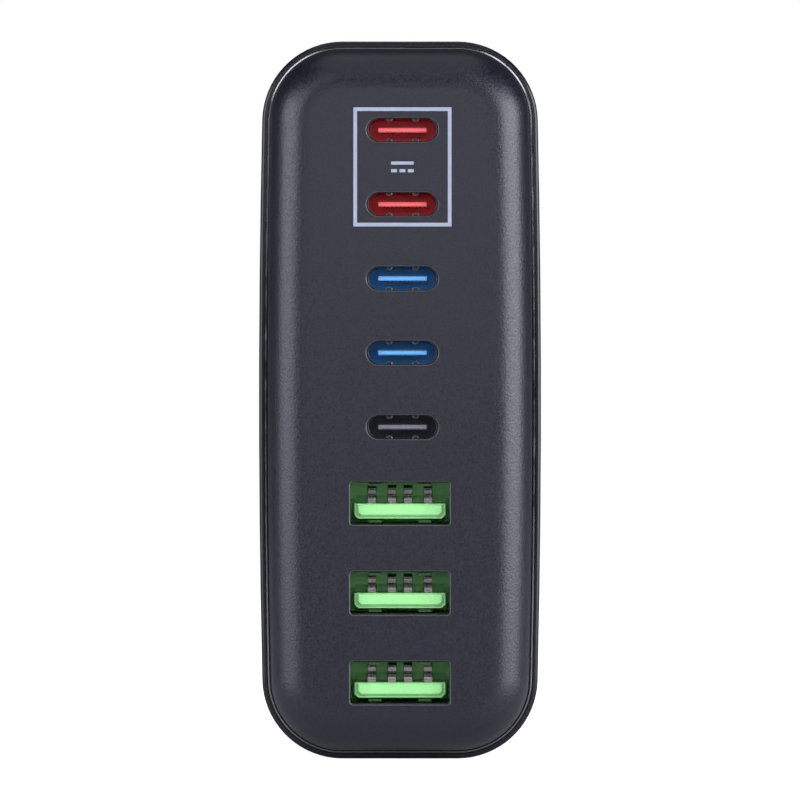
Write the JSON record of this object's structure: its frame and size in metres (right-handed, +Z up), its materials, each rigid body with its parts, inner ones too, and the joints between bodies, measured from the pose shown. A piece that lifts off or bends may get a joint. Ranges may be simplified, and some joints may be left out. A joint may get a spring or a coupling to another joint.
{
  "type": "wall charger",
  "caption": "Tall black wall charger with a soft-edged front, a column of oval and wide charging ports with coloured inserts, and flat plug blades at the back.",
  "frame": {"origin": "midway between the two plug blades, on the back face that meets the wall", "axes": "+Z up along the column of ports, +Y into the wall along the blades, so the ports face -Y"},
  "size_m": [0.0352, 0.0765, 0.0896],
  "materials": {
    "cover_plastic": "fine-grained matt black",
    "shell_plastic": "glossy black",
    "trim_plastic": "polished black ring",
    "insert_plastic": "matt black",
    "blade_metal": "nickel plate",
    "port_steel": "stamped sheet",
    "contact_metal": "gold flash",
    "red_insulator": "moulded red",
    "blue_insulator": "moulded blue",
    "black_insulator": "moulded black",
    "green_insulator": "moulded green",
    "board_laminate": "solder mask",
    "copper": "bare and enamelled copper",
    "ferrite": "sintered, matt",
    "can_metal": "sleeved can",
    "dipped_blue": "dipped coating",
    "dipped_green": "dipped coating",
    "moulded_epoxy": "moulded component body",
    "moulded_yellow": "moulded component body",
    "bobbin_plastic": "moulded",
    "tape": "winding tape",
    "spreader_metal": "plain sheet",
    "sheet_film": "insulating film",
    "soft_pad": "soft silicone"
  },
  "bodies": {
    "root": {"boost_inductor_core": "ferrite", "boost_inductor_winding": "copper", "bridge_rectifier": "moulded_epoxy", "buck_inductors": "ferrite", "bulk_capacitor_1": "can_metal", "bulk_capacitor_2": "can_metal", "bulk_capacitor_3": "can_metal", "control_card": "board_laminate", "filter_choke_core": "ferrite", "filter_choke_windings": "copper", "front_cover": "cover_plastic", "fuse": "moulded_epoxy", "gap_pad": "soft_pad", "heat_spreader": "spreader_metal", "inrush_thermistor": "dipped_green", "insulation_sheet": "sheet_film", "line_blade": "blade_metal", "line_filter_capacitor": "moulded_yellow", "line_strip": "copper", "main_board": "board_laminate", "neutral_blade": "blade_metal", "neutral_strip": "copper", "output_capacitors": "can_metal", "oval_port_1_contacts": "contact_metal", "oval_port_1_insulator": "red_insulator", "oval_port_1_shell": "port_steel", "oval_port_2_contacts": "contact_metal", "oval_port_2_insulator": "red_insulator", "oval_port_2_shell": "port_steel", "oval_port_3_contacts": "contact_metal", "oval_port_3_insulator": "blue_insulator", "oval_port_3_shell": "port_steel", "oval_port_4_contacts": "contact_metal", "oval_port_4_insulator": "blue_insulator", "oval_port_4_shell": "port_steel", "oval_port_5_contacts": "contact_metal", "oval_port_5_insulator": "black_insulator", "oval_port_5_shell": "port_steel", "plug_insert": "insert_plastic", "port_board": "board_laminate", "port_controllers": "moulded_epoxy", "power_transistors": "moulded_epoxy", "rear_shell": "shell_plastic", "safety_capacitor": "dipped_blue", "surge_varistor": "dipped_blue", "transformer_bobbin": "bobbin_plastic", "transformer_core": "ferrite", "transformer_winding": "tape", "trim_ring": "trim_plastic", "wide_port_1_contacts": "contact_metal", "wide_port_1_insulator": "green_insulator", "wide_port_1_shell": "port_steel", "wide_port_2_contacts": "contact_metal", "wide_port_2_insulator": "green_insulator", "wide_port_2_shell": "port_steel", "wide_port_3_contacts": "contact_metal", "wide_port_3_insulator": "green_insulator", "wide_port_3_shell": "port_steel"}
  },
  "joints": []
}
